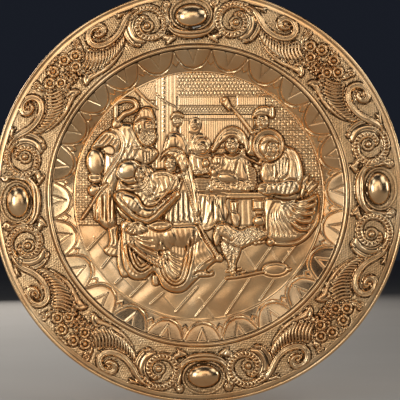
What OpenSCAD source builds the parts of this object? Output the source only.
// Embossed brass wall charger: one pressed and chased sheet with a wired edge,
// and a swinging hanging ring held by a folded strap soldered behind the flange.
// Millimetres. The object stands upright as it hangs: front towards -Y, +Z up, +X to the
// right seen from the front. The origin is the point inside the ring where the nail bears.

/* [Dish] */
// Outer diameter over the wired edge
dish_d = 600; // [500:10:660]
// Thickness of the brass sheet
sheet_t = 0.8; // [0.6:0.1:1.2]
// Depth from the back of the flange to the back of the well
well_depth = 24; // [16:1:32]
// Radius of the flat well floor
well_r = 182; // [170:1:190]
// Radius of the top of the sloping wall around the well
wall_top_r = 212; // [206:1:216]
// Rounded part at each end of the wall's slope, as a share of it
wall_round = 0.1; // [0.05:0.05:0.3]
// Height of the round step at the inner edge of the flange
step_h = 2; // [1:0.5:3]

/* [Wired edge] */
// Radius of the iron wire inside the roll
wire_r = 1.85; // [1.5:0.05:2.5]
// How far the roll's centre lies behind the middle of the flange sheet
roll_drop = 0.9; // [0:0.1:1.5]

/* [Bosses and volutes] */
// Distance of the four oval bosses from the middle
boss_r = 265; // [258:1:270]
// Half length of an oval boss, along the flange
boss_half_len = 22; // [18:1:26]
// Half width of an oval boss, across the flange
boss_half_wid = 14.5; // [12:0.5:16]
// Height of an oval boss
boss_h = 6; // [3:0.5:9]
// Turn of the whole border pattern, anticlockwise seen from the front
border_turn = 2; // [-5:1:5]
// Distance of the eight beaded volutes from the middle
volute_r = 256; // [250:1:260]
// Turn from a boss to the volute on each side of it
volute_turn = 12; // [11:0.5:14]
// Radius of the ring ridge of a beaded volute
volute_ring_r = 17; // [12:1:20]
// Distance of the eight small scrolls from the middle
scroll_r = 276; // [270:1:280]
// Turn from a boss to the small scroll on each side of it
scroll_turn = 28; // [26:1:32]
// Radius of the ring ridge of a small scroll
scroll_ring_r = 9; // [7:1:11]
// Distance of the four fruit clusters from the middle
fruit_r = 262; // [256:1:268]
// Half length of a fruit cluster, along the flange
fruit_half_len = 24; // [18:1:28]
// Half width of a fruit cluster, across the flange
fruit_half_wid = 17; // [12:1:20]
// Height of a fruit cluster
fruit_h = 3; // [2:0.5:5]
// Radius of the raised wire-like ridges
ridge_r = 2.2; // [1.6:0.1:3]

/* [Hanger] */
// Height of the hinge line above the middle of the dish
hinge_up = 246; // [244:1:250]
// Middle radius of the hanging ring
ring_r = 14; // [12:0.5:16]
// Radius of the ring's wire
ring_wire_r = 1.75; // [1.25:0.05:2]
// Width of the folded strap
strap_w = 8; // [6:0.5:9]
// Thickness of the strap's brass
strap_t = 0.8; // [0.6:0.1:1]
// Inner radius of the strap's eye
eye_r = 2.7; // [2.7:0.1:3.2]
// Length of the strap's doubled tail below the hinge line
tail_len = 17; // [12:1:18]
// Thickness of the solder under the strap
solder_t = 0.4; // [0.3:0.1:0.8]
// How far the solder reaches out round the strap
solder_rim = 1.5; // [1:0.25:2]

/* [Hidden] */
$fn = 96;
// Segments of a whole turn of the domes' long arcs, and of the thin round wires.
arc_steps = 360;
wire_steps = 48;
half_t = sheet_t / 2;
flange_z = well_depth;
mid_z = flange_z + half_t;
step_in_r = wall_top_r + 1;
step_out_r = step_in_r + 7;
tube_r = wire_r + 0.05 + half_t;
roll_r = dish_d / 2 - tube_r - half_t;
roll_z = mid_z - roll_drop;
roll_start = 180 - asin(roll_drop / tube_r);
roll_end = -150;
// How far the middle of a ridge lies in front of the flange's back: its widest line is inside
// the sheet.
ridge_lift = sheet_t / 4;
// The ring stands up behind the flange and leans on it with this gap.
ring_gap = 0.3;
// Depth of the box that keeps the front of a raised shape.
front_room = 60;
hinge_back = solder_t + strap_t + eye_r;
hinge_z = flange_z - hinge_back;
ring_lean = asin((hinge_back - ring_wire_r - ring_gap) / (2 * ring_r));
nail_up = 2 * ring_r - ring_wire_r;
solder_w = strap_w + 2 * solder_rim;
solder_len = tail_len + solder_rim;
origin_up = hinge_up + nail_up * cos(ring_lean);
origin_z = hinge_z + nail_up * sin(ring_lean);
// Rounded masses of the picture in the well: across, up, half length, half width, height,
// and the turn of the long side from level.
FIGURES = [
    [-122, 66, 62, 26, 8, 84],
    [-80, 104, 15, 12, 9, 90],
    [-66, -10, 62, 40, 9, 124],
    [-100, 30, 14, 14, 9, 90],
    [-40, 42, 18, 14, 7, 90],
    [-14, -34, 58, 18, 7, 80],
    [6, -92, 16, 9, 5, 20],
    [52, 76, 17, 14, 8, 90],
    [54, 34, 30, 22, 8, 8],
    [6, 72, 13, 11, 7, 90],
    [92, 112, 14, 12, 7, 90],
    [106, 64, 17, 15, 8, 90],
    [136, 8, 56, 34, 9, 106],
    [66, -54, 38, 22, 7, 160],
    [112, -108, 20, 11, 4, 0],
    [96, -38, 13, 9, 6, 90],
];

// Lays the flat-lying dish upright and puts the nail point at the origin.
module upright() {
    translate([0, origin_z, -origin_up]) rotate([90, 0, 0]) children();
}

// Straight slope from 0 to 1 with a rounded part of the width e at each end.
function sloped(s, e) =
    (s < e ? s * s / (2 * e) : s > 1 - e ? 1 - e - (1 - s) * (1 - s) / (2 * e) : s - e / 2) / (1 - e);

// Middle line of the sheet from the centre to the start of the roll: [radius, height].
function wall_curve(n) = [
    for (i = [0 : n])
        let (s = i / n)
        [well_r + (wall_top_r - well_r) * s, half_t + well_depth * sloped(s, wall_round)]
];
function step_curve(n) = [
    for (i = [0 : n])
        let (s = i / n)
        [step_in_r + (step_out_r - step_in_r) * s, mid_z + step_h * sin(180 * s)]
];
function roll_curve(n) = [
    for (i = [0 : n])
        let (a = roll_start + (roll_end - roll_start) * i / n)
        [roll_r + tube_r * cos(a), roll_z + tube_r * sin(a)]
];
SHEET_LINE = concat([[0, half_t]], wall_curve(20), step_curve(6), roll_curve(24));

// Unit direction between two points of a line, and the line moved sideways by d.
function heading(p, q) = (q - p) / norm(q - p);
function shifted(line, d) = [
    for (i = [0 : len(line) - 1])
        let (
            before = heading(line[max(i - 1, 0)], line[max(i, 1)]),
            after = heading(line[min(i, len(line) - 2)], line[min(i + 1, len(line) - 1)]),
            side = [-(before + after)[1], (before + after)[0]] / norm(before + after),
            stretch = 1 / max(0.6, side * [-after[1], after[0]])
        )
        i == 0 ? [0, line[0][1] + d] : line[i] + side * d * stretch
];
function backwards(line) = [for (i = [len(line) - 1 : -1 : 0]) line[i]];

module sheet() {
    rotate_extrude()
        polygon(concat(shifted(SHEET_LINE, half_t), backwards(shifted(SHEET_LINE, -half_t))));
}

// Oval dome standing on the plane z = 0 with its long side along X. Its surface is a circular
// arc swept about a line below the plane; grow moves that surface outwards.
module oval_dome(half_len, half_wid, height, grow) {
    below = (half_wid * half_wid - height * height) / (2 * height);
    arc_r = (half_len * half_len + height * height) / (2 * height);
    crown = below + height;
    ends = half_len + 2 * grow;
    translate([0, 0, -below]) rotate([0, 90, 0]) rotate_extrude() intersection() {
        translate([crown - arc_r, 0]) circle(r = arc_r + grow, $fn = arc_steps);
        translate([0, -ends]) square([crown + grow + 1, 2 * ends]);
    }
}

// Round ridge of the radius r, raised from the flange like a wire pressed in from behind.
module ring_ridge(r, grow) {
    rotate_extrude() translate([r, ridge_lift])
        circle(r = ridge_r - sheet_t + grow, $fn = wire_steps);
}

// The raised shapes; grow is 0 for the hollow behind them and sheet_t for their outside.
module border_relief(grow) {
    for (k = [0 : 3]) rotate(border_turn + 90 * k) translate([0, boss_r, flange_z])
        oval_dome(boss_half_len - sheet_t, boss_half_wid - sheet_t, boss_h, grow);
    for (k = [0 : 3], side = [-1, 1])
        rotate(border_turn + 90 * k + side * volute_turn) translate([0, volute_r, flange_z])
            ring_ridge(volute_ring_r, grow);
    for (k = [0 : 3], side = [-1, 1])
        rotate(border_turn + 90 * k + side * scroll_turn) translate([0, scroll_r, flange_z])
            ring_ridge(scroll_ring_r, grow);
    for (k = [0 : 3]) rotate(border_turn + 45 + 90 * k) translate([0, fruit_r, flange_z])
        oval_dome(fruit_half_len, fruit_half_wid, fruit_h, grow);
}

module figure_relief(grow) {
    for (f = FIGURES) translate([f[0], f[1], 0]) rotate(f[5]) oval_dome(f[2], f[3], f[4], grow);
}

// Keeps the part of a raised shape that is in front of the plane z = floor_z.
module in_front_of(floor_z) {
    intersection() {
        children();
        translate([-dish_d / 2, -dish_d / 2, floor_z]) cube([dish_d, dish_d, front_room]);
    }
}

module dish() {
    color([0.72, 0.52, 0.26]) upright() difference() {
        union() {
            sheet();
            in_front_of(flange_z + 0.1) border_relief(sheet_t);
            in_front_of(0.1) figure_relief(sheet_t);
        }
        border_relief(0);
        figure_relief(0);
    }
}

module rim_wire() {
    color([0.25, 0.22, 0.2]) upright()
        translate([0, 0, roll_z]) rotate_extrude() translate([roll_r, 0])
            circle(r = wire_r, $fn = wire_steps);
}

// Strap folded round the ring: an eye and a doubled tail lying towards the middle of the dish.
module hanger_tab() {
    color([0.68, 0.5, 0.25]) upright()
        translate([-strap_w / 2, hinge_up, hinge_z]) rotate([90, 0, 90])
        linear_extrude(strap_w) difference() {
            union() {
                circle(r = eye_r + strap_t);
                translate([-tail_len, eye_r - strap_t]) square([tail_len, 2 * strap_t]);
            }
            circle(r = eye_r);
        }
}

module solder_pad() {
    color([0.6, 0.58, 0.54]) upright()
        translate([-solder_w / 2, hinge_up - solder_len, flange_z - solder_t])
            cube([solder_w, solder_len, solder_t]);
}

module hanger_ring() {
    color([0.66, 0.48, 0.24]) upright()
        translate([0, hinge_up, hinge_z]) rotate([ring_lean, 0, 0]) translate([0, ring_r, 0])
            rotate_extrude() translate([ring_r, 0]) circle(r = ring_wire_r, $fn = wire_steps);
}

dish();
rim_wire();
hanger_tab();
solder_pad();
hanger_ring();
